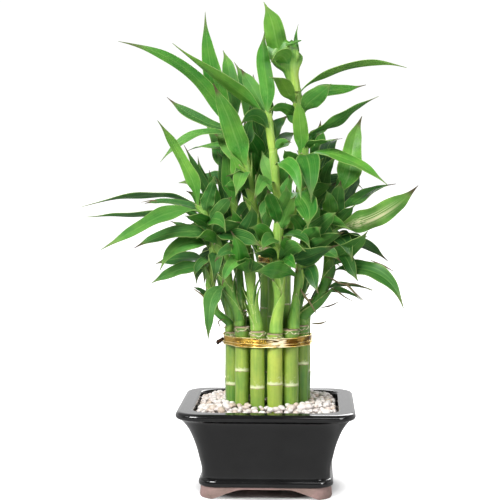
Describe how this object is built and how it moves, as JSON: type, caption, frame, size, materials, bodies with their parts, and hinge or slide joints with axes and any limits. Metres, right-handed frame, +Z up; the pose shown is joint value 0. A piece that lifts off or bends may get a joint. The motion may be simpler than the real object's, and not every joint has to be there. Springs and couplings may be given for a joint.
{
  "type": "potted lucky bamboo",
  "caption": "Lucky bamboo: a ring of short leafy canes round taller ones, tied with gold bands, in pebbles in a square glazed pot with bracket feet.",
  "frame": {"origin": "on the surface the feet stand on, under the middle of the whole plant's bounding box; the pot's middle is 16 mm along +X from it", "axes": "+Z up; the front of the plant faces -Y; +X is to the right seen from the front"},
  "size_m": [0.276, 0.172, 0.399],
  "materials": {
    "glazed_ceramic": "gloss",
    "soil": "matte",
    "pebble": "matte",
    "gold_foil": "gloss",
    "cane": "satin",
    "shoot": "satin",
    "leaf": "satin"
  },
  "bodies": {
    "root": {"pot": "glazed_ceramic", "soil": "soil", "pebbles": "pebble", "lower_tie": "gold_foil", "upper_tie": "gold_foil", "cane_front_left": "cane", "cane_front": "cane", "cane_front_right": "cane", "cane_right": "cane", "cane_right_back": "cane", "cane_back_right": "cane", "cane_back_middle_right": "cane", "cane_back": "cane", "cane_back_middle_left": "cane", "cane_back_left": "cane", "cane_left_back": "cane", "cane_left": "cane", "cane_left_front": "cane", "tall_cane_front": "cane", "tall_cane_right": "cane", "tall_cane_left": "cane", "shoot_left_outer": "shoot", "shoot_left_back": "shoot", "shoot_left": "shoot", "shoot_front_left": "shoot", "shoot_front": "shoot", "shoot_front_right": "shoot", "shoot_right": "shoot", "shoot_back_right": "shoot", "shoot_back": "shoot", "shoot_back_left": "shoot", "shoot_tall_left": "shoot", "shoot_tall_middle": "shoot", "shoot_tall_right": "shoot", "leaves_left_outer": "leaf", "leaves_left_back": "leaf", "leaves_left": "leaf", "leaves_front_left": "leaf", "leaves_front": "leaf", "leaves_front_right": "leaf", "leaves_right": "leaf", "leaves_back_right": "leaf", "leaves_back": "leaf", "leaves_back_left": "leaf", "leaves_tall_left": "leaf", "leaves_tall_middle": "leaf", "leaves_tall_right": "leaf"}
  },
  "joints": []
}
